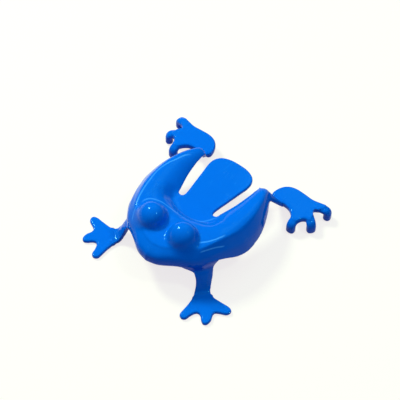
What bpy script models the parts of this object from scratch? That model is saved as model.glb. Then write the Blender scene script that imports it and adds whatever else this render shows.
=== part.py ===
"""A press-and-release jumping frog: a thin moulded shell that stands on two flat hands and two
arched feet, with a springy paddle behind the head that is pushed down and let go.

Metres, +Z up. The frog looks along -Y and its left side is +X. The origin is on the floor under
the middle of the toy. The body is one arch profile lofted through stations that run from the
middle of the head round to the end of each haunch.
"""

import math

import bpy
from mathutils import Matrix, Vector

# Body shell: plan and heights
body_half_width = 0.0189
body_length = 0.0400
chin_front = 0.0223  # how far the chin lies in front of the origin
back_height = 0.0150
haunch_end_bow = 0.0010  # how far a haunch's rounded end bulges rearwards
wall = 0.0012
seam = 0.0003  # hairline clearance between neighbouring pieces

# Eyes
eye_spacing = 0.0110
eye_setback = 0.0100  # from the chin back to the eye's centre
eye_radius = 0.0054
eye_rise = 0.0047
eye_dome_power = 1.2  # how full the dome is: higher is more pointed

# Spring paddle
paddle_length = 0.0190
paddle_half_width = 0.0072
paddle_thickness = 0.0012
paddle_root_top = 0.0110
paddle_drop = 0.0011  # how much lower the tip lies than the root
edge_round = 0.0003

# Front limbs
hand_thickness = 0.0013
hand_width = 0.0120
hand_length = 0.0110
wrist_in = 0.0010  # from the body's rim at the shoulder in to the wrist's inner corner
wrist_forward = 0.0033  # and forward to it
arm_bow = 0.0009

# Rear limbs
foot_width = 0.0140
foot_length = 0.0076
heel_out = 0.0017  # from the inner edge of the haunch's end out to the heel
heel_back = 0.0034  # and back to it
foot_top = 0.0049
foot_depth = 0.0024
toe_radius = 0.0010
toe_tip_radius = 0.0008
toe_sink = 0.0001  # how far a toe's ridge lies below the palm's top

overrun = 0.0005  # how far a cutter passes through what it cuts

# Sub-steps of the lofts
station_steps = 4
rail_steps = 4
outline_steps = 3
arm_steps = 2
shank_steps = 2
toe_steps = 3
round_sides = 8

# The arch profile from the outer rim across to the inner edge: (across share, rise share).
# Up to the crest the rise is measured from the rim, and behind it from the inner edge.
crest_index = 5
head_profile_shares = (
    (0.00, 0.00), (-0.02, 0.18), (-0.02, 0.38), (0.03, 0.62), (0.17, 0.83),
    (0.42, 1.00), (0.64, 0.80), (0.80, 0.14), (1.00, 0.00),
)
shoulder_profile_shares = (
    (0.00, 0.00), (0.06, 0.16), (0.12, 0.34), (0.15, 0.60), (0.20, 0.87),
    (0.36, 1.00), (0.58, 0.72), (0.78, 0.22), (1.00, 0.00),
)
haunch_profile_shares = (
    (0.00, 0.00), (0.03, 0.26), (0.08, 0.50), (0.15, 0.72), (0.25, 0.91),
    (0.42, 1.00), (0.66, 0.82), (0.84, 0.44), (1.00, 0.00),
)

# Stations from the middle of the head to the end of a haunch, as shares of half the width, of
# the length and of the back's height: rim x and y, edge x and y, then the heights of the rim,
# the crest and the inner edge, how much of the shoulder profile and of the haunch profile is in
# it, and how much of the haunch end's bulge.
station_shares = (
    (0.000, 0.000, 0.000, 0.560, 0.560, 0.993, 0.733, 0.00, 0.00, 0.0),
    (0.185, 0.022, 0.101, 0.560, 0.560, 0.993, 0.733, 0.00, 0.00, 0.0),
    (0.397, 0.085, 0.201, 0.560, 0.547, 0.987, 0.733, 0.10, 0.00, 0.0),
    (0.640, 0.157, 0.275, 0.560, 0.540, 0.980, 0.733, 0.45, 0.00, 0.0),
    (0.799, 0.245, 0.317, 0.560, 0.553, 0.980, 0.733, 0.85, 0.10, 0.0),
    (0.873, 0.355, 0.349, 0.562, 0.567, 0.980, 0.733, 0.65, 0.35, 0.0),
    (0.984, 0.550, 0.386, 0.600, 0.513, 0.947, 0.733, 0.10, 0.90, 0.0),
    (0.952, 0.725, 0.466, 0.745, 0.493, 0.913, 0.733, 0.00, 1.00, 0.0),
    (0.860, 0.847, 0.508, 0.875, 0.500, 0.847, 0.727, 0.00, 1.00, 0.1),
    (0.768, 0.940, 0.521, 0.957, 0.507, 0.760, 0.693, 0.00, 1.00, 0.6),
    (0.751, 0.968, 0.540, 0.980, 0.487, 0.640, 0.613, 0.00, 1.00, 1.0),
)
shoulder_station = 4
haunch_station = 5  # the haunch shells begin at this station

# Half of the paddle's outline from the root to the tip: shares of its half width and length
paddle_outline_shares = (
    (0.72, 0.00), (0.765, 0.14), (0.825, 0.28), (0.885, 0.43), (0.955, 0.60),
    (1.00, 0.72), (0.96, 0.83), (0.82, 0.915), (0.60, 0.965), (0.33, 0.992), (0.00, 1.00),
)

# A hand's outline from the outer side of the wrist round the three toes to the inner side:
# shares of the hand's width outwards and of its length forwards
hand_outline_shares = (
    (0.28, -0.02), (0.38, 0.04), (0.60, 0.045), (0.86, 0.04), (0.955, 0.09), (0.925, 0.20),
    (0.78, 0.285), (0.685, 0.36), (0.685, 0.47), (0.735, 0.60), (0.73, 0.73), (0.66, 0.79),
    (0.57, 0.74), (0.49, 0.655), (0.40, 0.62), (0.335, 0.67), (0.285, 0.80), (0.255, 0.95),
    (0.175, 1.00), (0.085, 0.95), (0.075, 0.78), (0.07, 0.60), (0.055, 0.42), (0.02, 0.27),
)

# A foot's palm from the heel round the outer side to the front: shares of its width and length
foot_outline_shares = (
    (0.00, 0.02), (-0.01, 0.25), (0.06, 0.52), (0.18, 0.70), (0.34, 0.77), (0.54, 0.75),
    (0.74, 0.73), (0.94, 0.80), (1.04, 0.82), (1.05, 0.69), (0.97, 0.54), (0.895, 0.43),
    (0.93, 0.25), (0.99, 0.06), (0.99, -0.09), (0.90, -0.12), (0.83, -0.24), (0.79, -0.42),
    (0.71, -0.48), (0.64, -0.38), (0.58, -0.22), (0.50, -0.05), (0.38, 0.02), (0.18, 0.00),
)

# The hollow under a foot's palm, in the same shares
foot_pocket_shares = (
    (0.09, 0.18), (0.12, 0.41), (0.22, 0.57), (0.36, 0.62), (0.58, 0.59), (0.73, 0.54), (0.79, 0.41),
    (0.82, 0.18), (0.74, 0.01), (0.62, -0.04), (0.53, 0.10), (0.39, 0.18), (0.22, 0.17),
)

# Each bent toe of a foot: where it leaves the palm and where its tip stands, in the same shares
foot_toe_shares = (
    ("outer", (0.90, 0.60), (1.135, 0.74)),
    ("middle", (0.87, 0.16), (1.045, -0.065)),
    ("front", (0.72, -0.12), (0.735, -0.565)),
)

# An arm's edges from the body's rim down to the wrist, as shares of the hand's width outwards
# from the wrist's inner corner, of the hand's length forwards and of the shoulder rim's height
arm_inner_shares = (
    (-0.18, 0.09, 0.83), (-0.085, 0.13, 0.58), (-0.02, 0.18, 0.35), (0.02, 0.26, 0.17),
)
arm_outer_shares = (
    (0.02, -0.38, 0.675), (0.07, -0.24, 0.48), (0.15, -0.13, 0.32), (0.26, -0.02, 0.18),
)
arm_bow_shares = (0.6, 1.0, 0.8, 0.3)
arm_root_station_shares = (2.75, 4.25)

# How far along a toe its knee lies, and how high up its shin starts to stand upright
toe_knee_share = 0.84
toe_bend_share = 0.66

# The shank's lower end, from its outer side to its inner side: shares of the foot's width,
# length and top height
shank_heel_shares = (
    (0.30, -0.07, 0.52), (0.29, -0.07, 0.84), (0.26, -0.07, 0.96), (0.21, -0.07, 1.00),
    (0.16, -0.07, 1.00), (0.10, -0.07, 1.00), (0.04, -0.07, 0.98), (0.01, -0.07, 0.86),
)


# What sits on the shell is placed from it: the paddle from the back's rear edge, the hands from
# the shoulder's rim and the feet from the haunch's end.
back_edge_y = station_shares[0][3] * body_length - chin_front
hinge_y = back_edge_y + seam + paddle_thickness / 2
shoulder_x, shoulder_y = station_shares[shoulder_station][:2]
shoulder_height = station_shares[shoulder_station][4] * back_height
hand_x = shoulder_x * body_half_width - wrist_in
hand_y = shoulder_y * body_length - chin_front - wrist_forward
haunch_end_x, haunch_end_y = station_shares[-1][2:4]
foot_x = haunch_end_x * body_half_width + heel_out
foot_y = haunch_end_y * body_length - chin_front + heel_back


def clear_scene():
    for old in list(bpy.data.objects):
        bpy.data.objects.remove(old, do_unlink=True)


def moulded_plastic(name, colour, roughness):
    """The glossy moulded plastic that every piece is made of."""
    material = bpy.data.materials.new(name)
    material.use_nodes = True
    shader = material.node_tree.nodes["Principled BSDF"]
    shader.inputs["Base Color"].default_value = (*colour, 1.0)
    shader.inputs["Roughness"].default_value = roughness
    shader.inputs["Metallic"].default_value = 0.0
    return material


def add_object(name, points, faces, material, smooth_angle=math.radians(50)):
    mesh = bpy.data.meshes.new(name)
    mesh.from_pydata([tuple(p) for p in points], [], faces)
    mesh.update()
    mesh.shade_smooth()
    mesh.set_sharp_from_angle(angle=smooth_angle)
    obj = bpy.data.objects.new(name, mesh)
    obj.data.materials.append(material)
    bpy.context.collection.objects.link(obj)
    return obj


def spline(points, steps, closed=False):
    """Points along a Catmull-Rom spline through the given points, with so many steps to a span."""
    count = len(points)
    spans = count if closed else count - 1
    result = []
    for i in range(spans):
        if closed:
            p0, p1, p2, p3 = (points[(i + k - 1) % count] for k in range(4))
        else:
            p1, p2 = points[i], points[i + 1]
            p0 = points[i - 1] if i > 0 else p1 * 2 - p2
            p3 = points[i + 2] if i + 2 < count else p2 * 2 - p1
        for k in range(steps):
            t = k / steps
            result.append(
                0.5 * (2 * p1 + (p2 - p0) * t + (2 * p0 - 5 * p1 + 4 * p2 - p3) * t * t
                       + (3 * p1 - p0 - 3 * p2 + p3) * t ** 3)
            )
    if not closed:
        result.append(points[-1].copy())
    return result


def blend(a, b, t):
    return a + (b - a) * t


def station_section(shares):
    """One station's arch as rail points, from the outer rim to the inner edge."""
    rim_x, rim_y, edge_x, edge_y, rim_z, crest_z, edge_z, shoulder, haunch, bow = shares
    rim = Vector((rim_x * body_half_width, rim_y * body_length - chin_front, 0))
    edge = Vector((edge_x * body_half_width, edge_y * body_length - chin_front, 0))
    profiles = (head_profile_shares, shoulder_profile_shares, haunch_profile_shares)
    weights = (1 - shoulder - haunch, shoulder, haunch)
    section = []
    for i in range(len(head_profile_shares)):
        across = sum(weight * profile[i][0] for weight, profile in zip(weights, profiles))
        rise = sum(weight * profile[i][1] for weight, profile in zip(weights, profiles))
        point = rim.lerp(edge, across)
        base = rim_z if i <= crest_index else edge_z
        point.z = back_height * blend(base, crest_z, rise)
        point.y += bow * haunch_end_bow * math.sin(math.pi * min(max(across, 0), 1))
        section.append(point)
    return section


def eye_lift(point):
    """Raises a point of the shell onto the eye's dome where it lies under the eye."""
    centre = Vector((eye_spacing / 2, eye_setback - chin_front))
    away = (Vector((abs(point.x), point.y)) - centre).length / eye_radius
    if away >= 1:
        return point
    lift = eye_rise * (1 - away * away) ** eye_dome_power
    return Vector((point.x, point.y, point.z + lift))


def body_sections():
    """The fine sections of the left half, from the middle of the head to the haunch's end."""
    rails = zip(*[station_section(shares) for shares in station_shares])
    fine_rails = [spline(list(rail), station_steps) for rail in rails]
    sections = [spline(list(section), rail_steps) for section in zip(*fine_rails)]
    return [[eye_lift(point) for point in section] for section in sections]


def mirrored(section):
    return [Vector((-p.x, p.y, p.z)) for p in section]


def shell(name, sections, thickness, material):
    """A thin wall whose outer face is the loft through the sections."""
    width = len(sections[0])
    points = [point for section in sections for point in section]
    faces = []
    for i in range(len(sections) - 1):
        for j in range(width - 1):
            a = i * width + j
            faces.append((a, a + width, a + width + 1, a + 1))
    obj = add_object(name, points, faces, material)
    solid = obj.modifiers.new("Wall", "SOLIDIFY")
    solid.thickness = thickness
    solid.offset = -1
    solid.use_even_offset = True
    solid.thickness_clamp = 1.0
    solid.use_quality_normals = True
    return obj


def ring_solid(name, rings, material):
    """A closed solid through rings of equal counts, capped at both ends."""
    count = len(rings[0])
    points = [point for ring in rings for point in ring]
    faces = [tuple(reversed(range(count)))]
    for k in range(len(rings) - 1):
        for i in range(count):
            j = (i + 1) % count
            faces.append((k * count + i, k * count + j, (k + 1) * count + j, (k + 1) * count + i))
    faces.append(tuple(range((len(rings) - 1) * count, len(rings) * count)))
    return add_object(name, points, faces, material)


def inset(outline, distance):
    """A closed counter-clockwise outline moved inwards in plan."""
    count = len(outline)
    result = []
    for i, point in enumerate(outline):
        along = outline[(i + 1) % count] - outline[i - 1]
        inward = Vector((-along.y, along.x, 0)).normalized()
        result.append(point + inward * distance)
    return result


def at_height(outline, height):
    return [Vector((p.x, p.y, height)) for p in outline]


def make_body(sections, material):
    """The head with the back, and a haunch on each side, cut from one run of sections."""
    cut = haunch_station * station_steps
    head = [mirrored(section) for section in reversed(sections[1:cut + 1])] + sections[:cut + 1]
    shell("head_and_back", head, wall, material)
    haunch = sections[cut:]
    haunch[0] = step_clear(haunch[0], haunch[1])
    shell("left_haunch", haunch, wall, material)
    shell("right_haunch", [mirrored(section) for section in reversed(haunch)], wall, material)


def paddle_top(y):
    """Height of the paddle's top face, which falls gently from the root to the tip."""
    return paddle_root_top - paddle_drop * (y - hinge_y) / paddle_length


def make_paddle(material):
    half = [
        Vector((x * paddle_half_width, hinge_y + y * paddle_length, 0))
        for x, y in paddle_outline_shares
    ]
    right_side = spline(half, outline_steps)
    outline = right_side + [Vector((-p.x, p.y, 0)) for p in reversed(right_side[:-1])]
    half_thickness = paddle_thickness / 2
    root_half = half[0].x
    # The root is a half round about the hinge's axis, so it rolls without touching the shell.
    faces_up = [Vector((p.x, p.y, paddle_top(p.y))) for p in outline]
    faces_down = [Vector((p.x, p.y, paddle_top(p.y) - paddle_thickness)) for p in outline]
    inner = inset(outline, edge_round)
    upper = [Vector((p.x, max(p.y, hinge_y), paddle_top(p.y))) for p in inner]
    lower = [Vector((p.x, max(p.y, hinge_y), paddle_top(p.y) - paddle_thickness)) for p in inner]
    rings = [
        lower,
        [p + Vector((0, 0, edge_round)) for p in faces_down],
        [p - Vector((0, 0, edge_round)) for p in faces_up],
        upper,
    ]
    paddle = ring_solid("spring_paddle", rings, material)
    roll = root_roll(root_half - edge_round, half_thickness, material)
    combine(paddle, roll, "UNION")
    pivot = Vector((0, hinge_y, paddle_root_top - half_thickness))
    set_origin(paddle, pivot)
    return paddle


def root_roll(half_width, radius, material):
    """A bar along the hinge's axis that rounds off the paddle's root."""
    centre_z = paddle_root_top - radius
    rings = []
    for x in (-half_width, half_width):
        rings.append([
            Vector((
                x,
                hinge_y + radius * math.cos(2 * math.pi * k / round_sides),
                centre_z + radius * math.sin(2 * math.pi * k / round_sides),
            ))
            for k in range(round_sides)
        ])
    return ring_solid("root_roll", rings, material)


def set_origin(obj, place):
    """Puts a piece's origin on its joint's axis and leaves its shape where it is."""
    obj.data.transform(Matrix.Translation(-place))
    obj.location = place


def combine(obj, helper, operation):
    """Joins a hidden helper to a piece, or cuts it from the piece, with a Boolean."""
    helper.hide_render = True
    helper.display_type = "WIRE"
    step = obj.modifiers.new(helper.name, "BOOLEAN")
    step.operation = operation
    step.solver = "MANIFOLD"
    step.object = helper


def for_side(side, points):
    """Points of the left side, or their mirror images for the right."""
    return points if side == "left" else mirrored(points)


def side_shell(side, name, sections, material):
    """A shell on either side, with its outer face outwards on both."""
    ordered = sections if side == "left" else [mirrored(section) for section in reversed(sections)]
    return shell(side + "_" + name, ordered, wall, material)


def counter_clockwise(side, outline):
    """A left outline listed clockwise, turned so that both sides run counter-clockwise."""
    return list(reversed(outline)) if side == "left" else mirrored(outline)


def step_clear(section, toward):
    """A section moved by the seam's width towards the next one."""
    return [p + (q - p).normalized() * seam for p, q in zip(section, toward)]


def edge_section(inner, outer, bow, run, count):
    """Points from an arm's inner to its outer edge, bowed outwards in the middle."""
    outward = run.cross(outer - inner).normalized()
    return [
        inner.lerp(outer, k / (count - 1)) + outward * bow * math.sin(math.pi * k / (count - 1))
        for k in range(count)
    ]


def make_arm(side, sections, material):
    """An arm continues the body's wall from its rim down to the wrist."""
    first, last = (round(share * station_steps) for share in arm_root_station_shares)
    rim = [section[0] for section in sections[first:last + 1]]
    count = len(rim)
    root = [p - Vector((0, 0, seam)) for p in rim]
    inner = [hand_point(x, y, z * shoulder_height) for x, y, z in arm_inner_shares]
    outer = [hand_point(x, y, z * shoulder_height) for x, y, z in arm_outer_shares]
    stations = [root]
    previous = (root[0] + root[-1]) / 2
    for a, b, bow_share in zip(inner, outer, arm_bow_shares):
        middle = (a + b) / 2
        stations.append(edge_section(a, b, bow_share * arm_bow, middle - previous, count))
        previous = middle
    stations[-1] = step_clear(stations[-1], stations[-2])
    rails = [spline(list(rail), arm_steps) for rail in zip(*stations)]
    side_shell(side, "arm", [list(section) for section in zip(*rails)], material)


def hand_point(across, forward, height):
    return Vector((hand_x + across * hand_width, hand_y - forward * hand_length, height))


def foot_point(across, rearward, height):
    return Vector((foot_x + across * foot_width, foot_y + rearward * foot_length, height))


def make_hand(side, material):
    outline = spline([hand_point(x, y, 0) for x, y in hand_outline_shares], outline_steps)
    outline = counter_clockwise(side, outline)
    inner = inset(outline, edge_round)
    rings = [
        at_height(inner, 0),
        at_height(outline, edge_round),
        at_height(outline, hand_thickness - edge_round),
        at_height(inner, hand_thickness),
    ]
    ring_solid(side + "_hand", rings, material)


def make_foot(side, material):
    """An arched palm with an open underside and three toes that bend down to the floor."""
    outline = spline([foot_point(x, y, 0) for x, y in foot_outline_shares], outline_steps)
    outline = counter_clockwise(side, outline)
    inner = inset(outline, edge_round)
    bottom = foot_top - foot_depth
    rings = [
        at_height(outline, bottom),
        at_height(outline, foot_top - edge_round),
        at_height(inner, foot_top),
    ]
    palm = ring_solid(side + "_foot", rings, material)
    for name, start, tip in foot_toe_shares:
        combine(palm, bent_toe(side, name, start, tip, material), "UNION")
    pocket = spline([foot_point(x, y, 0) for x, y in foot_pocket_shares], outline_steps, closed=True)
    pocket = counter_clockwise(side, pocket)
    hollow = [at_height(pocket, -overrun), at_height(pocket, foot_top - wall)]
    combine(palm, ring_solid(side + "_foot_pocket", hollow, material), "DIFFERENCE")


def bent_toe(side, name, start, tip, material):
    """A toe that leaves the palm level and turns down onto the floor."""
    level = foot_top - toe_sink - toe_radius
    leave = foot_point(*start, level)
    stand = foot_point(*tip, 0)
    knee = leave.lerp(stand, toe_knee_share)
    knee.z = level
    bend = stand.copy()
    bend.z = level * toe_bend_share
    path = spline([leave, knee, bend, stand], toe_steps)
    rings = []
    across = (stand - leave).cross(Vector((0, 0, 1))).normalized()
    for k, centre in enumerate(path):
        ahead = path[min(k + 1, len(path) - 1)] - path[max(k - 1, 0)]
        if k == len(path) - 1:
            ahead = Vector((0, 0, -1))
        normal = ahead.cross(across).normalized()
        radius = blend(toe_radius, toe_tip_radius, k / (len(path) - 1))
        rings.append([
            centre + (across * math.cos(2 * math.pi * i / round_sides)
                      + normal * math.sin(2 * math.pi * i / round_sides)) * radius
            for i in range(round_sides)
        ])
    rings = [for_side(side, ring) for ring in rings]
    if side == "right":
        rings = [list(reversed(ring)) for ring in rings]
    return ring_solid(side + "_" + name + "_toe", rings, material)


def make_shank(side, sections, material):
    """The link from a haunch's end down to the heel of its foot."""
    start = sections[-1][::rail_steps]
    heel = [foot_point(x, y, z * foot_top) for x, y, z in shank_heel_shares]
    ends = [step_clear(start, heel), heel]
    rails = [spline(list(rail), shank_steps) for rail in zip(*ends)]
    side_shell(side, "shank", [list(section) for section in zip(*rails)], material)


clear_scene()
blue = moulded_plastic("Blue plastic", (0.0, 0.19, 0.87), 0.22)
left_sections = body_sections()
make_body(left_sections, blue)
make_paddle(blue)
for side in ("left", "right"):
    make_arm(side, left_sections, blue)
    make_hand(side, blue)
    make_shank(side, left_sections, blue)
    make_foot(side, blue)
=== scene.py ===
import math
import bmesh
import bpy
import numpy as np
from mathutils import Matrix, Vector
from mathutils.bvhtree import BVHTree
from mathutils.kdtree import KDTree


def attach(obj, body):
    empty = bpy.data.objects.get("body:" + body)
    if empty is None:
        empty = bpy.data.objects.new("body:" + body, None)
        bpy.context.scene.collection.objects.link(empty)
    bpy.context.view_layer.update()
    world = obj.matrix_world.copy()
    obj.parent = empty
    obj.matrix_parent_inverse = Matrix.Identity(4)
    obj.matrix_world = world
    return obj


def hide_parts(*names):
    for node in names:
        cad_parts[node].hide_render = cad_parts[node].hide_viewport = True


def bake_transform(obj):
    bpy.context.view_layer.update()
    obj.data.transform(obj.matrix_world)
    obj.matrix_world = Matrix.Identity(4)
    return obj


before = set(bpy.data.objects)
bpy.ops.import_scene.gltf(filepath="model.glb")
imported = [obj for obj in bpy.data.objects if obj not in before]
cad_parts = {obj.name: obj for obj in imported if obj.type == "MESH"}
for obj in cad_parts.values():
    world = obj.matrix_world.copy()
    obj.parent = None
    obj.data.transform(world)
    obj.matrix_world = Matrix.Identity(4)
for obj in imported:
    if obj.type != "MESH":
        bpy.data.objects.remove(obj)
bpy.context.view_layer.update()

# The jumping frog is one blue moulding. It is built here in millimetres as overlapping shells,
# remeshed into one skin with moulded fillets, and then cut at the paddle's root so that it flexes.
# The frog looks along -Y and its left side is +X.

moulding = {
    "toMetres": 0.001,
    "voxel": 0.2,
    "filletPasses": 9,
    "filletStrength": 0.5,
}


def splineThrough(points, steps, closed=False):
    # Catmull-Rom along the first axis, so whole rows of rails can be run at once
    points = np.asarray(points, float)
    if closed:
        before, start = np.roll(points, 1, 0), points
        after, later = np.roll(points, -1, 0), np.roll(points, -2, 0)
    else:
        padded = np.concatenate([[2 * points[0] - points[1]], points, [2 * points[-1] - points[-2]]])
        before, start, after, later = padded[:-3], padded[1:-2], padded[2:-1], padded[3:]
    t = (np.arange(steps) / steps).reshape((1, steps) + (1,) * (points.ndim - 1))
    before, start, after, later = (a[:, None] for a in (before, start, after, later))
    run = 0.5 * (2 * start + (after - before) * t
                 + (2 * before - 5 * start + 4 * after - later) * t ** 2
                 + (3 * start - before - 3 * after + later) * t ** 3)
    run = run.reshape((-1,) + points.shape[1:])
    return run if closed else np.concatenate([run, points[-1:]])


def mirrorX(points):
    return points * np.array((-1.0, 1.0, 1.0))


def thickShell(grid, wall):
    # a grid of outer skin points (rows, columns, xyz) made into a closed wall
    alongRows, alongColumns = np.gradient(grid, axis=0), np.gradient(grid, axis=1)
    normal = np.cross(alongRows, alongColumns)
    normal /= np.linalg.norm(normal, axis=2, keepdims=True)
    rows, columns = grid.shape[:2]
    points = np.concatenate([grid.reshape(-1, 3), (grid - normal * wall).reshape(-1, 3)])
    at = np.arange(rows * columns).reshape(rows, columns)
    a, b, c, d = at[:-1, :-1], at[1:, :-1], at[1:, 1:], at[:-1, 1:]
    outer = np.stack([a, d, c, b], -1).reshape(-1, 4)
    inner = np.stack([a, b, c, d], -1).reshape(-1, 4) + rows * columns
    loop = np.concatenate([at[0, :-1], at[:-1, -1], at[-1, :0:-1], at[:0:-1, 0]])
    following = np.roll(loop, -1)
    rim = np.stack([loop, following, following + rows * columns, loop + rows * columns], -1)
    return points, [tuple(f) for f in np.concatenate([outer, inner, rim])]


def ringSolid(rings):
    # closed rings of equal counts, stacked and capped
    count = len(rings[0])
    points = np.concatenate(rings)
    faces = [tuple(reversed(range(count))), tuple(range((len(rings) - 1) * count, len(rings) * count))]
    for k in range(len(rings) - 1):
        for i in range(count):
            j = (i + 1) % count
            faces.append((k * count + i, k * count + j, (k + 1) * count + j, (k + 1) * count + i))
    return points, faces


def insetOutline(outline, distance):
    # a closed plan outline moved inwards, whichever way round it runs
    along = np.roll(outline, -1, 0) - np.roll(outline, 1, 0)
    inward = np.stack([-along[:, 1], along[:, 0], np.zeros(len(along))], -1)
    inward /= np.linalg.norm(inward, axis=1, keepdims=True)
    x, y = outline[:, 0], outline[:, 1]
    area = np.sum(x * np.roll(y, -1) - np.roll(x, -1) * y)
    return outline + inward * distance * np.sign(area)


def atHeight(outline, height):
    flat = outline.copy()
    flat[:, 2] = height
    return flat


def roundedPlate(outline, bottom, top, topRound, bottomRound, roundSteps=5):
    # a plate with quarter-round edges above and below
    rings = []
    for k in range(roundSteps + 1):
        turn = math.pi / 2 * k / roundSteps
        rings.append(atHeight(insetOutline(outline, bottomRound * (1 - math.sin(turn))),
                              bottom + bottomRound * (1 - math.cos(turn))))
    for k in range(roundSteps + 1):
        turn = math.pi / 2 * k / roundSteps
        rings.append(atHeight(insetOutline(outline, topRound * (1 - math.cos(turn))),
                              top - topRound * (1 - math.sin(turn))))
    return ringSolid(rings)


# Body: one arch profile lofted from the middle of the head to the end of each haunch
frogShell = {
    "wall": 1.2,
    "stationSteps": 16,
    "railSteps": 8,
    "crest": 9,  # which point of a profile is at its crest
    "endBulge": 1.0,
    # rim x, y | inner edge x, y | rim, crest and edge heights | shoulder and haunch shares, end bulge
    "stations": (
        (0.0, -22.3, 0.0, 0.1, 8.5, 14.9, 11.0, 0.00, 0.00, 0.0),
        (3.5, -21.4, 1.9, 0.1, 8.6, 14.9, 11.0, 0.00, 0.00, 0.0),
        (7.5, -18.9, 3.8, 0.1, 8.7, 14.9, 11.0, 0.10, 0.00, 0.0),
        (12.3, -16.15, 5.2, 0.1, 8.8, 15.1, 11.0, 0.45, 0.00, 0.0),
        (14.95, -12.5, 6.0, 0.1, 10.2, 15.1, 11.0, 0.85, 0.10, 0.0),
        (16.95, -8.3, 6.6, 0.2, 9.0, 15.0, 11.0, 0.60, 0.40, 0.0),
        (18.4, -4.6, 6.9, 0.6, 7.2, 14.6, 11.0, 0.35, 0.65, 0.0),
        (19.3, -0.3, 7.2, 1.7, 6.4, 14.2, 11.0, 0.10, 0.90, 0.0),
        (18.7, 5.9, 8.7, 7.0, 6.7, 13.7, 11.0, 0.00, 1.00, 0.0),
        (16.7, 11.3, 9.6, 12.5, 7.4, 12.8, 10.9, 0.00, 1.00, 0.1),
        (14.5, 15.3, 9.85, 16.0, 7.6, 11.4, 10.4, 0.00, 1.00, 0.6),
        (14.2, 16.4, 10.2, 16.9, 7.3, 9.6, 9.2, 0.00, 1.00, 1.0),
    ),
    # across and rise of the arch from the rim over the crest to the inner edge
    "headProfile": (
        (0.00, 0.00), (-0.02, 0.14), (-0.02, 0.28), (-0.015, 0.42), (0.00, 0.55), (0.03, 0.66), (0.07, 0.75),
        (0.11, 0.825), (0.165, 0.905), (0.42, 1.00), (0.56, 0.95), (0.66, 0.72), (0.73, 0.36), (0.79, 0.09),
        (1.00, 0.00),
    ),
    "shoulderProfile": (
        (0.00, 0.00), (0.015, 0.16), (0.03, 0.32), (0.05, 0.46), (0.075, 0.55), (0.11, 0.67), (0.15, 0.83),
        (0.18, 0.95), (0.205, 0.995), (0.30, 1.00), (0.48, 0.95), (0.63, 0.75), (0.75, 0.40), (0.86, 0.10),
        (1.00, 0.00),
    ),
    "haunchProfile": (
        (0.00, 0.00), (0.025, 0.18), (0.055, 0.36), (0.087, 0.495), (0.125, 0.60), (0.17, 0.70), (0.22, 0.80),
        (0.27, 0.89), (0.325, 0.955), (0.44, 1.00), (0.56, 0.955), (0.70, 0.80), (0.82, 0.56), (0.92, 0.28),
        (1.00, 0.00),
    ),
}

frogEyes = {
    "halfSpacing": 5.5,
    "y": -13.0,
    "radius": 4.2,
    # radius of the hollow where the ball meets the head: most of the way round, then at its outer side
    "fillets": (1.1, 3.0),
    "outerSide": (0.8, -0.6),  # the way from the eye's middle to where its fillet is widest
    "outerFrom": 0.5,
    "middle": 0.1,  # closer to the eye's middle than this there is no outer side
}


def stationArch(station):
    rimX, rimY, edgeX, edgeY, rimZ, crestZ, edgeZ, shoulder, haunch, bulge = station
    profiles = [np.array(frogShell[name]) for name in ("headProfile", "shoulderProfile", "haunchProfile")]
    across, rise = sum(w * p for w, p in zip((1 - shoulder - haunch, shoulder, haunch), profiles)).T
    base = np.where(np.arange(len(rise)) <= frogShell["crest"], rimZ, edgeZ)
    arch = np.stack([rimX + (edgeX - rimX) * across, rimY + (edgeY - rimY) * across,
                     base + (crestZ - base) * rise], -1)
    arch[:, 1] += bulge * frogShell["endBulge"] * np.sin(np.pi * np.clip(across, 0, 1))
    return arch


def raiseEyes(points):
    # each eye is a half ball on the head, with a hollow fillet round its foot
    radius, (tight, wide), outerSide = frogEyes["radius"], frogEyes["fillets"], frogEyes["outerSide"]
    aside, back = np.abs(points[..., 0]) - frogEyes["halfSpacing"], points[..., 1] - frogEyes["y"]
    away = np.hypot(aside, back)
    outer = (aside * outerSide[0] + back * outerSide[1]) / np.maximum(away, frogEyes["middle"])
    widening = np.clip((outer - frogEyes["outerFrom"]) / (1 - frogEyes["outerFrom"]), 0, 1)
    fillet = tight + (wide - tight) * widening
    foot = np.sqrt(radius ** 2 + 2 * radius * fillet)
    leave = radius * foot / (radius + fillet)
    ball = np.sqrt(radius ** 2 - np.minimum(away, leave) ** 2)
    hollow = fillet - np.sqrt(fillet ** 2 - np.clip(foot - away, 0, foot - leave) ** 2)
    raised = points.copy()
    raised[..., 2] += np.where(away < leave, ball, hollow)
    return raised


def shellSections():
    arches = np.array([stationArch(station) for station in frogShell["stations"]])
    fine = splineThrough(arches, frogShell["stationSteps"])
    fine = splineThrough(fine.transpose(1, 0, 2), frogShell["railSteps"]).transpose(1, 0, 2)
    return raiseEyes(fine)


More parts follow.
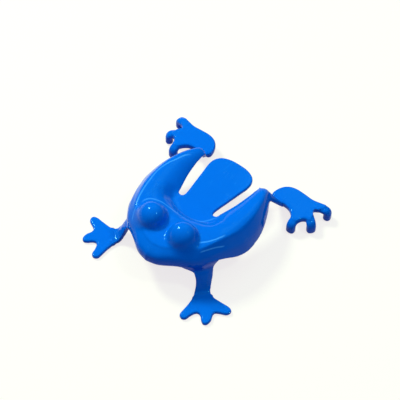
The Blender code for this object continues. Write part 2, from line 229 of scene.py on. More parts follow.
# Painted highlights: ridges and creases painted pale, as thin lines along the skin where highlights fall on
# them
paintedHighlightLines = {
    "width": 0.17,
    "reach": 1.0,  # a point of a line further off the skin than this isn't drawn
    "above": 9.5,
    "steps": 24,  # between two given points, and over which a line fades at each end
    # how pale each painted highlight is, on which sides (x or mirrored x), then points
    "lines": (
        (0.8, (-1,), ((11.6, -12.4, 14.6), (12.4, -10.9, 15.0), (13.1, -8.7, 15.1), (14.1, -4.6, 14.8),
                      (15.1, 0.6, 14.05), (14.7, 4.6, 13.8), (13.85, 7.3, 13.6), (13.0, 10.6, 13.0),
                      (11.8, 12.5, 12.4))),
        (0.8, (1,), ((10.2, -12.1, 14.9), (10.8, -11.4, 15.0), (12.1, -10.0, 15.1), (13.2, -8.2, 15.1),
                     (14.0, -6.2, 14.9), (14.3, -5.0, 14.8))),
        (0.5, (-1,), ((9.5, -17.0, 12.7), (10.1, -16.0, 13.35), (10.85, -13.8, 14.4), (11.2, -11.7, 14.9))),
        (0.9, (1,), ((12.1, -13.8, 13.9), (12.5, -13.0, 14.0), (13.3, -11.4, 13.9), (14.3, -9.6, 13.7),
                     (15.3, -7.8, 13.1), (15.6, -7.0, 12.9))),
        (0.5, (-1,), ((11.3, -14.1, 14.0), (13.5, -11.2, 14.0), (15.1, -7.8, 13.0), (16.65, -4.3, 12.3))),
        (0.55, (-1,), ((10.9, -11.4, 14.95), (10.6, -10.0, 15.1), (9.8, -8.8, 15.1), (8.0, -7.8, 14.9),
                       (6.2, -7.3, 14.5), (3.0, -7.2, 13.9), (0.0, -7.0, 13.5), (-3.0, -7.2, 13.9))),
        (0.5, (1,), ((2.0, -4.9, 11.7), (4.5, -4.2, 11.5), (6.5, -1.4, 11.2), (8.0, 1.4, 11.7))),
    ),
}


def paintedHighlightShare(points, polygons):
    # how near each point in millimetres is to a painted highlight line on the skin, from 0 to 1
    skin = BVHTree.FromPolygons(points.tolist(), polygons)
    share = np.zeros(len(points))
    for strength, sides, line in paintedHighlightLines["lines"]:
        run = splineThrough(line, paintedHighlightLines["steps"])
        fromEnd = np.minimum(np.arange(len(run)), np.arange(len(run))[::-1])
        fade = strength * np.clip(fromEnd / paintedHighlightLines["steps"], 0, 1)
        for side in sides:
            tree = KDTree(len(run))
            for k, (x, y, z) in enumerate(run):
                onSkin, _, _, distance = skin.find_nearest((side * x, y, z))
                if distance < paintedHighlightLines["reach"]:
                    tree.insert(onSkin, k)
            tree.balance()
            for k in np.flatnonzero(points[:, 2] > paintedHighlightLines["above"]):
                _, nearest, distance = tree.find(points[k])
                if nearest is None:
                    break
                away = distance / paintedHighlightLines["width"]
                share[k] = max(share[k], fade[nearest] * math.exp(-away * away))
    return share


# Paddle: the springy tongue behind the head, level with the back where it leaves it
springPaddle = {
    "top": 11.0,
    "levelTo": 1.0,
    "fall": 1.1 / 19.0,
    "thickness": 1.2,
    "edgeRound": 0.45,
    "lowerRoundShare": 0.6,
    "outlineSteps": 5,
    # half the outline, from inside the back to the tip
    "outline": (
        (6.2, -1.5), (6.1, -0.4), (5.75, 0.25), (5.35, 0.75), (5.25, 1.6), (5.51, 3.66), (5.94, 6.32),
        (6.37, 9.17), (6.88, 12.4), (7.2, 14.68), (6.91, 16.77), (5.9, 18.39), (4.32, 19.34),
        (2.38, 19.85), (0.0, 20.0),
    ),
}


def paddlePlate():
    half = np.array([(x, y, 0.0) for x, y in springPaddle["outline"]])
    side = splineThrough(half, springPaddle["outlineSteps"])
    outline = np.concatenate([side, mirrorX(side[-2::-1])])
    upperRound = springPaddle["edgeRound"]
    points, faces = roundedPlate(outline, -springPaddle["thickness"], 0.0, upperRound,
                                 upperRound * springPaddle["lowerRoundShare"])
    drop = np.maximum(points[:, 1] - springPaddle["levelTo"], 0) * springPaddle["fall"]
    points[:, 2] += springPaddle["top"] - drop
    return points, faces


# Front limbs: an arm carries the wall of the shoulder down to a flat three-toed hand
frontLimb = {
    "rootStations": (2.4, 4.5),  # between which of the body's stations the arm hangs
    "overlap": 0.7,  # how far it runs up inside the shoulder, and down below the rim
    "belowRim": 0.3,
    "steps": 6,
    "armWall": 1.2,
    "armBow": 0.9,
    "bows": (0.4, 0.8, 1.0, 0.9, 0.5, 0.2, 0.0),
    "innerEdge": ((12.0, -16.6, 7.3), (12.75, -16.7, 6.1), (13.2, -16.9, 4.6), (13.55, -17.4, 3.15),
                  (13.85, -18.1, 2.0), (14.15, -18.9, 1.3), (14.7, -20.2, 1.15)),
    "outerEdge": ((15.3, -10.9, 7.6), (15.2, -11.4, 5.9), (15.55, -12.0, 4.5), (16.1, -13.1, 3.15),
                  (16.7, -14.4, 1.95), (17.4, -15.5, 1.28), (19.0, -16.5, 1.15)),
    "spread": 0.12,
    "handThickness": 1.3,
    "handRound": 0.5,
    "handLowerRound": 0.2,
    "hand": (
        (17.75, -15.95), (19.1, -16.3), (21.3, -16.25), (24.4, -16.1), (25.6, -16.8), (25.2, -18.15),
        (23.46, -19.04), (22.32, -19.86), (22.32, -21.0), (22.92, -22.4), (22.86, -23.93),
        (22.02, -24.59), (20.94, -24.04), (19.98, -23.1), (18.9, -22.72), (18.12, -23.27),
        (17.52, -24.7), (17.16, -26.35), (16.2, -26.9), (15.15, -26.3), (15.0, -24.38), (14.95, -22.4),
        (14.75, -20.6), (14.6, -19.2),
    ),
}


def frontLimbParts(sections):
    first, last = (round(s * frogShell["stationSteps"]) for s in frontLimb["rootStations"])
    root = sections[first:last + 1, 0]
    count = len(root)
    share = np.linspace(0, 1, count)[:, None]
    rows = [root + (0, 0, frontLimb["overlap"]), root - (0, 0, frontLimb["belowRim"])]
    before = rows[1].mean(axis=0)
    for inner, outer, bow in zip(frontLimb["innerEdge"], frontLimb["outerEdge"], frontLimb["bows"]):
        inner, outer = np.array(inner), np.array(outer)
        middle = (inner + outer) / 2
        outward = np.cross(middle - before, outer - inner)
        outward /= np.linalg.norm(outward)
        rows.append(inner + (outer - inner) * share
                    + outward * bow * frontLimb["armBow"] * np.sin(np.pi * share))
        before = middle
    arm = thickShell(splineThrough(np.array(rows), frontLimb["steps"]), frontLimb["armWall"])
    hand = np.array([(x, y, 0.0) for x, y in frontLimb["hand"]])
    outline = splineThrough(hand, frontLimb["steps"], closed=True)
    plate = roundedPlate(insetOutline(outline, -frontLimb["spread"]), 0, frontLimb["handThickness"],
                         frontLimb["handRound"], frontLimb["handLowerRound"])
    return [arm, plate]


# Rear limbs: a shank runs from the haunch's end to the heel of an arched foot that stands on
# three bent toes
rearLimb = {
    "shankWall": 1.2,
    "shankColumns": [0, 24, 40, 56, 72, 88, 100, 112],  # where it leaves the haunch's end
    "headingRows": 5,  # over how many rows of the haunch the shank takes up its heading
    "intoHaunch": 0.8,
    "heel": ((16.1, 19.8, 2.55), (15.96, 19.8, 4.1), (15.54, 19.8, 4.7), (14.84, 19.8, 4.9),
             (14.14, 19.8, 4.9), (13.3, 19.8, 4.9), (12.46, 19.8, 4.8), (12.04, 19.8, 4.2)),
    "intoFoot": (0, 1.6, -0.1),
    "shankSteps": (10, 5),  # along it and across it
    "footTop": 4.9,
    "footDepth": 1.95,
    "footRound": 0.6,
    "footLowerRound": 0.1,
    "footWall": 1.2,
    "footSteps": 6,
    "skirtEdge": (0.1, 0.3),  # inset and height of the bevel along the skirt's lower edge
    "foot": (
        (11.9, 20.45), (11.76, 22.3), (12.7, 24.5), (14.36, 25.9), (16.6, 26.45), (19.46, 26.35),
        (22.26, 26.2), (25.06, 26.75), (26.46, 26.95), (26.6, 25.6), (25.48, 24.4), (24.43, 23.57),
        (24.92, 22.2), (25.76, 20.76), (25.76, 19.62), (24.5, 19.39), (23.52, 18.48), (22.96, 17.1),
        (21.84, 16.65), (20.86, 17.4), (20.02, 18.5), (18.75, 19.45), (17.1, 19.85), (14.42, 20.0),
    ),
    "spread": 0.15,
    "toeHalfWidth": 1.4,
    "toeHalfDepths": (0.9, 1.2),  # where it leaves the foot and at its end
    "toeBelowTop": 0.02,
    "toeBend": 1.25,
    "toeBendSteps": 8,
    "toeSides": 24,
    "toeSquareness": 0.8,  # power of the section's sine and cosine: 1 is round, less is squarer
    "toeTipUp": 0.6,
    "toeTips": ((0.5, 0.9), (0.96, 0.62)),  # the rounded end: share of the way down, and size there
    # where each leaves the foot and where it stands
    "toes": (((24.5, 25.3), (27.6, 26.25)), ((24.08, 21.5), (26.55, 19.6)), ((21.9, 19.39), (22.0, 15.95))),
}


def bentToe(leave, stand):
    # a flat toe that turns straight down into a peg
    thin, thick = rearLimb["toeHalfDepths"]
    level, bend = rearLimb["footTop"] - thick - rearLimb["toeBelowTop"], rearLimb["toeBend"]
    leave, stand = np.array((*leave, level)), np.array((*stand, level))
    ahead = (stand - leave) / np.linalg.norm(stand - leave)
    down, across = np.array((0, 0, -1.0)), np.cross(ahead, (0, 0, 1.0))
    centres, headings = [leave - down * (thick - thin)], [0.0]
    for k in range(rearLimb["toeBendSteps"] + 1):
        turn = math.pi / 2 * k / rearLimb["toeBendSteps"]
        centres.append(stand - ahead * bend * (1 - math.sin(turn)) + down * bend * (1 - math.cos(turn)))
        headings.append(turn)
    centres.append(stand * (1, 1, 0) - down * rearLimb["toeTipUp"])
    headings.append(math.pi / 2)
    around = np.linspace(0, 2 * np.pi, rearLimb["toeSides"], endpoint=False)[:, None]
    squareness = rearLimb["toeSquareness"]
    wide, deep = (np.sign(f) * np.abs(f) ** squareness for f in (np.cos(around), np.sin(around)))
    rings = []
    for k, (centre, heading) in enumerate(zip(centres, headings)):
        share = k / (len(centres) - 1)
        normal = ahead * math.sin(heading) - down * math.cos(heading)
        rings.append(centre + across * wide * rearLimb["toeHalfWidth"]
                     + normal * deep * (thin + (thick - thin) * share))
    tip = centres[-1]
    for sink, shrink in rearLimb["toeTips"]:
        rings.append(tip + (rings[len(centres) - 1] - tip) * shrink + down * rearLimb["toeTipUp"] * sink)
    return ringSolid(rings)


def shankStrip(sections):
    # the bent strip from the haunch's end down to the heel
    columns = rearLimb["shankColumns"]
    end = sections[-1][columns]
    ahead = (sections[-1] - sections[-1 - rearLimb["headingRows"]])[columns]
    ahead /= np.linalg.norm(ahead, axis=1, keepdims=True)
    heel = np.array(rearLimb["heel"])
    rows = np.array([end - ahead * rearLimb["intoHaunch"], end, heel, heel + rearLimb["intoFoot"]])
    along, across = rearLimb["shankSteps"]
    grid = splineThrough(rows, along)
    grid = splineThrough(grid.transpose(1, 0, 2), across).transpose(1, 0, 2)
    return thickShell(grid, rearLimb["shankWall"])


def footSkirt(outline):
    # the wall that hangs round the foot's edge, open above and below
    top, bottom = rearLimb["footTop"], rearLimb["footTop"] - rearLimb["footDepth"]
    edgeInset, edgeRise = rearLimb["skirtEdge"]
    skirt = []
    for inset in (0.0, rearLimb["footWall"]):
        skirt.append([atHeight(insetOutline(outline, inset + (edgeInset if z == bottom else 0)), z)
                      for z in (bottom, bottom + edgeRise, top - rearLimb["footRound"])])
    outer, inner = skirt
    around = np.array(outer + inner[::-1] + outer[:1])
    around = np.concatenate([around, around[:, :1]], axis=1)
    count, length = around.shape[:2]
    at = np.arange(count * length).reshape(count, length)
    quads = np.stack([at[:-1, :-1], at[:-1, 1:], at[1:, 1:], at[1:, :-1]], -1).reshape(-1, 4)
    return around.reshape(-1, 3), [tuple(q) for q in quads]


def rearLimbParts(sections):
    outline = splineThrough([(x, y, 0.0) for x, y in rearLimb["foot"]], rearLimb["footSteps"], closed=True)
    outline = insetOutline(outline, -rearLimb["spread"])
    top = rearLimb["footTop"]
    palm = roundedPlate(outline, top - rearLimb["footWall"], top, rearLimb["footRound"],
                        rearLimb["footLowerRound"])
    toes = [bentToe(leave, stand) for leave, stand in rearLimb["toes"]]
    return [shankStrip(sections), palm, footSkirt(outline)] + toes


def meshObject(name, points, faces):
    mesh = bpy.data.meshes.new(name)
    mesh.from_pydata([tuple(p) for p in points], [], faces)
    mesh.update()
    obj = bpy.data.objects.new(name, mesh)
    bpy.context.collection.objects.link(obj)
    return obj


def mouldFrog():
    sections = shellSections()
    whole = np.concatenate([mirrorX(sections[:0:-1]), sections])
    parts = [thickShell(whole, frogShell["wall"]), paddlePlate()]
    for points, faces in frontLimbParts(sections) + rearLimbParts(sections):
        parts.append((points, faces))
        parts.append((mirrorX(points), [face[::-1] for face in faces]))
    points, faces, start = [], [], 0
    for partPoints, partFaces in parts:
        points.append(partPoints)
        faces += [tuple(i + start for i in face) for face in partFaces]
        start += len(partPoints)
    rough = meshObject("frogRough", np.concatenate(points), faces)
    skin = rough.modifiers.new("oneSkin", "REMESH")
    skin.mode = "VOXEL"
    skin.voxel_size = moulding["voxel"]
    fillets = rough.modifiers.new("mouldedFillets", "SMOOTH")
    fillets.factor = moulding["filletStrength"]
    fillets.iterations = moulding["filletPasses"]
    bpy.context.view_layer.update()
    evaluated = rough.evaluated_get(bpy.context.evaluated_depsgraph_get())
    mesh = bpy.data.meshes.new_from_object(evaluated)
    bpy.data.objects.remove(rough, do_unlink=True)
    mesh.name = "frogSkin"
    print("frog skin:", len(mesh.vertices), "points")
    return mesh


# The cut across the paddle's root, just behind the ends of the two slots
paddleCut = {
    "y": 1.8,
    "halfWidth": 6.1,
    "above": 8.0,
    "near": 1.5,  # only faces this close to the cut are divided
    "weld": 1e-5,
    "tipHalfWidth": 1.0,
    "flexEnd": 5.5,
}


def divideAtCut(bm):
    # divides only the faces close to the cut, and gives the edges along it
    near = [f for f in bm.faces
            if abs(f.calc_center_median().x) < paddleCut["halfWidth"]
            and abs(f.calc_center_median().y - paddleCut["y"]) < paddleCut["near"]
            and f.calc_center_median().z > paddleCut["above"]]
    geometry = set(near)
    for face in near:
        geometry.update(face.edges)
        geometry.update(face.verts)
    made = bmesh.ops.bisect_plane(bm, geom=list(geometry), dist=paddleCut["weld"],
                                  plane_co=(0, paddleCut["y"], 0), plane_no=(0, 1, 0))
    return [e for e in made["geom_cut"] if isinstance(e, bmesh.types.BMEdge)]


def paddleFaces(bm):
    # every face joined to the rearmost one near the middle, which is at the paddle's tip
    middle = [f for f in bm.faces if abs(f.calc_center_median().x) < paddleCut["tipHalfWidth"]]
    seed = max(middle, key=lambda f: f.calc_center_median().y)
    paddle, queue = {seed}, [seed]
    while queue:
        face = queue.pop()
        for edge in face.edges:
            for other in edge.link_faces:
                if other not in paddle:
                    paddle.add(other)
                    queue.append(other)
    return paddle


def cutPaddle(mesh):
    # the body and the paddle, each closed by a cap, with the normals of the uncut skin kept
    bm = bmesh.new()
    bm.from_mesh(mesh)
    bm.normal_update()
    keep = bm.verts.layers.float_vector.new("wholeNormal")
    cutEdges = divideAtCut(bm)
    bm.normal_update()
    for vert in bm.verts:
        vert[keep] = vert.normal
    bmesh.ops.split_edges(bm, edges=cutEdges)
    bm.faces.ensure_lookup_table()
    paddle = paddleFaces(bm)
    meshes = []
    for wanted in (False, True):
        piece = bm.copy()
        piece.faces.ensure_lookup_table()
        bm.faces.ensure_lookup_table()
        drop = [piece.faces[f.index] for f in bm.faces if (f in paddle) != wanted]
        bmesh.ops.delete(piece, geom=drop, context="FACES")
        rim = [e for e in piece.edges if e.is_boundary]
        cap = set(bmesh.ops.holes_fill(piece, edges=rim, sides=0)["faces"])
        bmesh.ops.triangulate(piece, faces=list(cap))
        meshes.append(piece)
    bm.free()
    return meshes


skinMarks = {
    # how steeply the duller core side comes in where the skin looks down, and from where
    "coreSlope": 3.0,
    "coreFrom": 0.3,
    "paintedHighlightAbove": 0.05,  # a painted highlight line shows only where the skin looks up
    # how nearly a cap's face has to look along Y, and how near it has to be to the cut
    "capLean": 1e-4,
    "capReach": 1e-6,
}


def finishMesh(name, bm):
    # brought to metres, with the normals of the uncut skin except on the caps
    mesh = bpy.data.meshes.new(name)
    bm.to_mesh(mesh)
    bm.free()
    scale = moulding["toMetres"]
    mesh.transform(((scale, 0, 0, 0), (0, scale, 0, 0), (0, 0, scale, 0), (0, 0, 0, 1)))
    mesh.shade_smooth()
    whole = np.empty(len(mesh.vertices) * 3, np.float32)
    mesh.attributes["wholeNormal"].data.foreach_get("vector", whole)
    whole = whole.reshape(-1, 3)
    corners = np.empty(len(mesh.loops), np.int32)
    mesh.loops.foreach_get("vertex_index", corners)
    normals = whole[corners]
    cutY = paddleCut["y"] * scale
    for polygon in mesh.polygons:
        facesCut = abs(abs(polygon.normal.y) - 1) < skinMarks["capLean"]
        if facesCut and abs(polygon.center.y - cutY) < skinMarks["capReach"]:
            normals[polygon.loop_start:polygon.loop_start + polygon.loop_total] = polygon.normal
    mesh.normals_split_custom_set([tuple(n) for n in normals])
    places = np.array([vertex.co for vertex in mesh.vertices]) / scale
    polygons = [tuple(polygon.vertices) for polygon in mesh.polygons]
    coreSide = np.clip(-whole[:, 2] * skinMarks["coreSlope"] - skinMarks["coreFrom"], 0, 1)
    # the painted highlight lines along the ridges, kept to skin that looks up
    paintedHighlight = paintedHighlightShare(places, polygons) * (whole[:, 2] > skinMarks["paintedHighlightAbove"])
    for attribute, values in (("coreSide", coreSide), ("paintedHighlight", paintedHighlight)):
        mesh.attributes.new(attribute, "FLOAT", "POINT").data.foreach_set("value", values)
    mesh.attributes.remove(mesh.attributes["wholeNormal"])
    obj = bpy.data.objects.new(name, mesh)
    bpy.context.collection.objects.link(obj)
    return obj


bodyMesh, paddleMesh = cutPaddle(mouldFrog())
frogMoulding = finishMesh("frogMoulding", bodyMesh)
flexingPaddle = finishMesh("flexingPaddle", paddleMesh)
print("frog moulding:", len(frogMoulding.data.polygons), "faces, paddle:",
      len(flexingPaddle.data.polygons))


# Materials: one blue plastic, with masks and heights from node groups
def addNode(tree, kind, settings=None, inputs=None):
    node = tree.nodes.new(kind)
    for name, value in (settings or {}).items():
        setattr(node, name, value)
    for name, value in (inputs or {}).items():
        if isinstance(value, bpy.types.NodeSocket):
            tree.links.new(value, node.inputs[name])
        else:
            node.inputs[name].default_value = value
    return node


def addNoise(tree, vector, scale, detail, **more):
    inputs = {"Vector": vector, "Scale": scale, "Detail": detail, **more}
    return addNode(tree, "ShaderNodeTexNoise", None, inputs).outputs["Fac"]


def addMath(tree, operation, *values):
    return addNode(tree, "ShaderNodeMath", {"operation": operation}, dict(enumerate(values))).outputs[0]


def addMix(tree, factor, first, second, kind="FLOAT"):
    inputs = {"Factor": factor, "A": first, "B": second}
    return addNode(tree, "ShaderNodeMix", {"data_type": kind}, inputs).outputs["Result"]


def addRange(tree, value, low, high, **more):
    # a smooth step from 0 at the low value to 1 at the high one
    inputs = {"Value": value, "From Min": low, "From Max": high, **more}
    settings = {"interpolation_type": "SMOOTHSTEP"}
    return addNode(tree, "ShaderNodeMapRange", settings, inputs).outputs["Result"]


def newGroup(name, outputs):
    # a node group that takes a position in metres
    group = bpy.data.node_groups.new(name, "ShaderNodeTree")
    group.interface.new_socket("Position", in_out="INPUT", socket_type="NodeSocketVector")
    for output in outputs:
        group.interface.new_socket(output, in_out="OUTPUT", socket_type="NodeSocketFloat")
    position = group.nodes.new("NodeGroupInput").outputs["Position"]
    return group, position, group.nodes.new("NodeGroupOutput")


# scales are per metre, and each detail is the number of octaves in the noise
mouldFlowLook = {
    "swirlScale": 70.0,
    "swirlDetail": 3.0,
    "swirlDistortion": 1.4,
    "cloudScale": 420.0,
    "cloudDetail": 4.0,
    "cloudShare": 0.3,
}


def mouldFlow():
    # slow swirls left by the melt as it filled the mould, from 0 to 1
    look = mouldFlowLook
    group, position, out = newGroup("mouldFlow", ["Tone"])
    swirl = addNoise(group, position, look["swirlScale"], look["swirlDetail"],
                     Distortion=look["swirlDistortion"])
    cloud = addNoise(group, position, look["cloudScale"], look["cloudDetail"])
    group.links.new(addMix(group, look["cloudShare"], swirl, cloud), out.inputs["Tone"])
    return group


handlingWearLook = {
    "smudgeScale": 130.0,
    "smudgeDetail": 5.0,
    "smudgeRoughness": 0.62,
    "smudgeBand": (0.42, 0.66),
    # turn in degrees, scale per metre and its share along the scratches, which draws them out
    "scratchRuns": ((24.0, 900.0, 0.05), (-51.0, 1200.0, 0.04), (78.0, 1000.0, 0.06)),
    "scratchDetail": 1.0,
    "scratchLevel": 0.5,  # a scratch runs where its noise is this, give or take its width
    "scratchWidth": 0.008,
    "patchScale": 160.0,
    "patchDetail": 2.0,
    "patchBand": (0.50, 0.68),
}


def handlingWear():
    # finger smudges and patches of hairline scratches, each from 0 to 1
    look = handlingWearLook
    group, position, out = newGroup("handlingWear", ["Smudge", "Scratch"])
    smudge = addNoise(group, position, look["smudgeScale"], look["smudgeDetail"],
                      Roughness=look["smudgeRoughness"])
    group.links.new(addRange(group, smudge, *look["smudgeBand"]), out.inputs["Smudge"])
    total = None
    for turn, scale, stretch in look["scratchRuns"]:
        inputs = {"Vector": position, "Rotation": (0, 0, math.radians(turn)), "Scale": (1.0, stretch, 1.0)}
        turned = addNode(group, "ShaderNodeMapping", None, inputs).outputs["Vector"]
        lines = addNoise(group, turned, scale, look["scratchDetail"])
        thin = addMath(group, "COMPARE", lines, look["scratchLevel"], look["scratchWidth"])
        total = thin if total is None else addMath(group, "MAXIMUM", total, thin)
    patch = addNoise(group, position, look["patchScale"], look["patchDetail"])
    scratch = addMath(group, "MULTIPLY", total, addRange(group, patch, *look["patchBand"]))
    group.links.new(scratch, out.inputs["Scratch"])
    return group


surfaceGrainLook = {
    "peelScale": 330.0,
    "peelDetail": 1.0,
    "grainScale": 3200.0,
    "grainDetail": 2.0,
    "grainShare": 0.12,
}


def surfaceGrain():
    # the faint unevenness of a moulded skin with the tool's fine grain on it
    look = surfaceGrainLook
    group, position, out = newGroup("surfaceGrain", ["Height"])
    peel = addNoise(group, position, look["peelScale"], look["peelDetail"])
    grain = addNoise(group, position, look["grainScale"], look["grainDetail"])
    group.links.new(addMix(group, look["grainShare"], peel, grain), out.inputs["Height"])
    return group


ejectorMarksLook = {
    # x, y and radius in millimetres of the round marks on the underside
    "marks": (
        (0.0, 15.0, 1.6), (0.0, -4.0, 1.6), (9.0, -9.5, 1.3), (-9.0, -9.5, 1.3), (13.2, 5.0, 1.3),
        (-13.2, 5.0, 1.3), (19.8, 23.0, 1.1), (-19.8, 23.0, 1.1), (18.6, -19.6, 1.1),
        (-18.6, -19.6, 1.1),
    ),
    "edge": 0.12,
}


def ejectorMarks():
    # flat round prints where the ejector pins pushed, from 0 beside them to 1 inside
    group, position, out = newGroup("ejectorMarks", ["Print"])
    scale, edge = moulding["toMetres"], ejectorMarksLook["edge"]
    flat = addNode(group, "ShaderNodeVectorMath", {"operation": "MULTIPLY"},
                   {0: position, 1: (1.0, 1.0, 0.0)}).outputs["Vector"]
    total = None
    for x, y, radius in ejectorMarksLook["marks"]:
        away = addNode(group, "ShaderNodeVectorMath", {"operation": "DISTANCE"},
                       {0: flat, 1: (x * scale, y * scale, 0.0)}).outputs["Value"]
        inside = addRange(group, away, (radius + edge) * scale, (radius - edge) * scale)
        total = inside if total is None else addMath(group, "MAXIMUM", total, inside)
    group.links.new(total, out.inputs["Print"])
    return group


bluePlasticLook = {
    "colour": (0.0, 0.137, 0.67, 1.0),
    "paleFlow": (0.0, 0.157, 0.72, 1.0),
    "scuffed": (0.01, 0.26, 0.82, 1.0),
    "scuffedShare": 0.25,  # how much of that colour a scratch takes on
    # the pale blue painted onto the ridges as highlights
    "paintedHighlight": (0.06, 0.42, 1.0, 1.0),
    "roughness": 0.07,
    "smudgedRoughness": 0.11,
    "coreRoughness": 0.38,
    "scratchRoughness": 0.3,
    "glossTint": (0.2, 0.85, 1.0, 1.0),
    "gloss": 0.11,
    # depths in metres, and the height that the bump node takes as 1
    "peelDepth": 0.00001,
    "scratchDepth": 0.000012,
    "printDepth": 0.00008,
    "bumpDistance": 0.0001,
}


def bluePlastic():
    look = bluePlasticLook
    material = bpy.data.materials.new("bluePlastic")
    material.use_nodes = True
    tree = material.node_tree
    shader = tree.nodes["Principled BSDF"]
    position = addNode(tree, "ShaderNodeTexCoord").outputs["Object"]
    flow, wear, grain, prints = (
        addNode(tree, "ShaderNodeGroup", {"node_tree": make()}, {"Position": position})
        for make in (mouldFlow, handlingWear, surfaceGrain, ejectorMarks))
    core, paintedHighlight = (addNode(tree, "ShaderNodeAttribute", {"attribute_name": name}).outputs["Fac"]
                    for name in ("coreSide", "paintedHighlight"))
    scratch = wear.outputs["Scratch"]
    flowing = addMix(tree, flow.outputs["Tone"], look["colour"], look["paleFlow"], "RGBA")
    scuff = addMath(tree, "MULTIPLY", scratch, look["scuffedShare"])
    scuffed = addMix(tree, scuff, flowing, look["scuffed"], "RGBA")
    # painted highlight: the ridge lines are mixed towards pale blue where highlights fall on them
    colour = addMix(tree, paintedHighlight, scuffed, look["paintedHighlight"], "RGBA")
    tree.links.new(colour, shader.inputs["Base Color"])
    smudged = addMix(tree, wear.outputs["Smudge"], look["roughness"], look["smudgedRoughness"])
    # scratches and the painted highlight lines are also made rougher
    dulled = addMath(tree, "MAXIMUM", scratch, paintedHighlight)
    scratched = addMix(tree, dulled, smudged, look["scratchRoughness"])
    matte = addMix(tree, core, scratched, look["coreRoughness"])
    tree.links.new(matte, shader.inputs["Roughness"])
    printed = addMath(tree, "MULTIPLY", prints.outputs["Print"], core)
    relief = 0.0
    for height, depth in ((grain.outputs["Height"], look["peelDepth"]), (scratch, -look["scratchDepth"]),
                          (printed, look["printDepth"])):
        relief = addMath(tree, "MULTIPLY_ADD", height, depth / look["bumpDistance"], relief)
    bump = addNode(tree, "ShaderNodeBump", None,
                   {"Height": relief, "Strength": 1.0, "Distance": look["bumpDistance"]})
    tree.links.new(bump.outputs["Normal"], shader.inputs["Normal"])
    shader.inputs["Specular Tint"].default_value = look["glossTint"]
    shader.inputs["Specular IOR Level"].default_value = look["gloss"]
    return material


plastic = bluePlastic()
for piece in (frogMoulding, flexingPaddle):
    piece.data.materials.append(plastic)
print("materials:", plastic.name, "on", frogMoulding.name, "and", flexingPaddle.name)

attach(frogMoulding, "frog_body")
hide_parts(*[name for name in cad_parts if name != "spring_paddle"])
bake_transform(flexingPaddle)
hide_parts("spring_paddle")


# Floor, light and camera
studio = {
    "floorSize": 6.0,
    "floorColour": (0.20, 0.12, 0.42, 1.0),  # what the table throws back at the frog
    "floorRoughness": 0.8,
    "skyColour": (0.75, 0.84, 1.0, 1.0),
    # heights of direction between which the sky brightens, and its levels below and above them
    "skyBand": (0.35, 0.95),
    "horizonLevel": 0.05,
    "zenithLevel": 0.68,
    "paleBand": (0.03, 0.15),  # and between which the camera's pale horizon fades out
    "shadowLight": (0.80, 0.77, 0.78, 1.0),  # what the camera sees of the table in full shadow
    "lampShare": (0.20, 0.23, 0.15, 1.0),  # and what the lamps add to it
    "lampDistance": 0.6,
    "lampAim": (0, 0, 0.01),
    # way to the lamp, side in metres, power in watts and colour
    "lamps": {
        "windowLight": ((-0.645, 0.07, 0.76), 0.11, 3.05, (1.0, 1.0, 0.92)),
        "backWindow": ((-0.18, 0.66, 0.73), 0.2, 0.25, (0.3, 0.9, 1.0)),
        "fillLight": ((0.41, 0.18, 0.89), 0.06, 0.65, (0.9, 1.0, 1.0)),
    },
    "lookAt": (0.00013, 0.00126, 0.01216),
    "camera": (0.13616, -0.16813, 0.3075),
    "lens": 116.4,
    "sensor": 36,
    "clipStart": 0.01,
}


def seenDirectly(tree):
    # 1 for what the camera sees, also in gloss, and 0 for light that bounces
    path = addNode(tree, "ShaderNodeLightPath")
    seen = path.outputs["Is Camera Ray"]
    for ray in ("Is Glossy Ray", "Is Transmission Ray"):
        seen = addMath(tree, "MAXIMUM", seen, path.outputs[ray])
    return seen


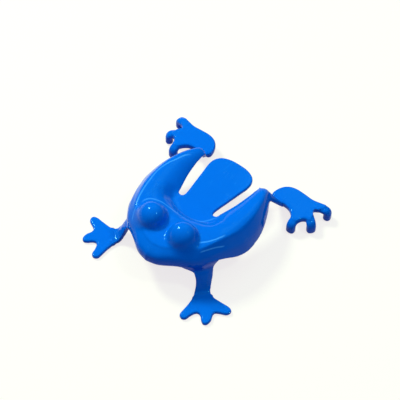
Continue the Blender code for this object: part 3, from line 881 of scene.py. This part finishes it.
def makeWorld():
    # soft light, mostly from overhead, over a pale horizon
    world = bpy.data.worlds.new("paleStudio")
    bpy.context.scene.world = world
    world.use_nodes = True
    tree = world.node_tree
    direction = addNode(tree, "ShaderNodeTexCoord").outputs["Generated"]
    height = addNode(tree, "ShaderNodeSeparateXYZ", None, {"Vector": direction}).outputs["Z"]
    levels = {"To Min": studio["horizonLevel"], "To Max": studio["zenithLevel"]}
    level = addRange(tree, height, *studio["skyBand"], **levels)
    nearHorizon = addRange(tree, height, *studio["paleBand"], **{"To Min": 1.0, "To Max": 0.0})
    shown = addMath(tree, "MULTIPLY", seenDirectly(tree), nearHorizon)
    background = tree.nodes["Background"]
    background.inputs["Color"].default_value = studio["skyColour"]
    tree.links.new(addMix(tree, shown, level, 1.0), background.inputs["Strength"])


def makeFloor():
    # the table, pale to the camera and darker to the light that bounces off it onto the frog
    half = studio["floorSize"] / 2
    corners = [(-half, -half, 0), (half, -half, 0), (half, half, 0), (-half, half, 0)]
    floor = meshObject("tableTop", corners, [(0, 1, 2, 3)])
    material = bpy.data.materials.new("paleTable")
    material.use_nodes = True
    tree = material.node_tree
    shader = tree.nodes["Principled BSDF"]
    shader.inputs["Roughness"].default_value = studio["floorRoughness"]
    shader.inputs["Specular IOR Level"].default_value = 0.0
    shown = seenDirectly(tree)
    for socket, bounced, seen in (("Base Color", studio["floorColour"], studio["lampShare"]),
                                  ("Emission Color", (0, 0, 0, 1), studio["shadowLight"])):
        tree.links.new(addMix(tree, shown, bounced, seen, "RGBA"), shader.inputs[socket])
    shader.inputs["Emission Strength"].default_value = 1.0
    floor.data.materials.append(material)


def aimedAt(obj, target):
    obj.rotation_euler = (Vector(target) - obj.location).to_track_quat("-Z", "Y").to_euler()


def softLamp(name, direction, side, power, colour):
    lamp = bpy.data.lights.new(name, "AREA")
    lamp.color = colour
    lamp.shape = "RECTANGLE"
    lamp.size = lamp.size_y = side
    lamp.energy = power
    obj = bpy.data.objects.new(name, lamp)
    bpy.context.collection.objects.link(obj)
    obj.location = Vector(direction).normalized() * studio["lampDistance"]
    aimedAt(obj, studio["lampAim"])


def makeCamera():
    data = bpy.data.cameras.new("photoView")
    data.sensor_width = studio["sensor"]
    data.lens = studio["lens"]
    data.clip_start = studio["clipStart"]
    camera = bpy.data.objects.new("photoView", data)
    bpy.context.collection.objects.link(camera)
    camera.location = studio["camera"]
    aimedAt(camera, studio["lookAt"])
    bpy.context.scene.camera = camera


makeFloor()
makeWorld()
for lampName, lampFacts in studio["lamps"].items():
    softLamp(lampName, *lampFacts)
makeCamera()
bpy.context.scene.view_settings.view_transform = "Standard"
print("studio: table, sky,", len(studio["lamps"]), "lamps and the camera at the photo's angle")
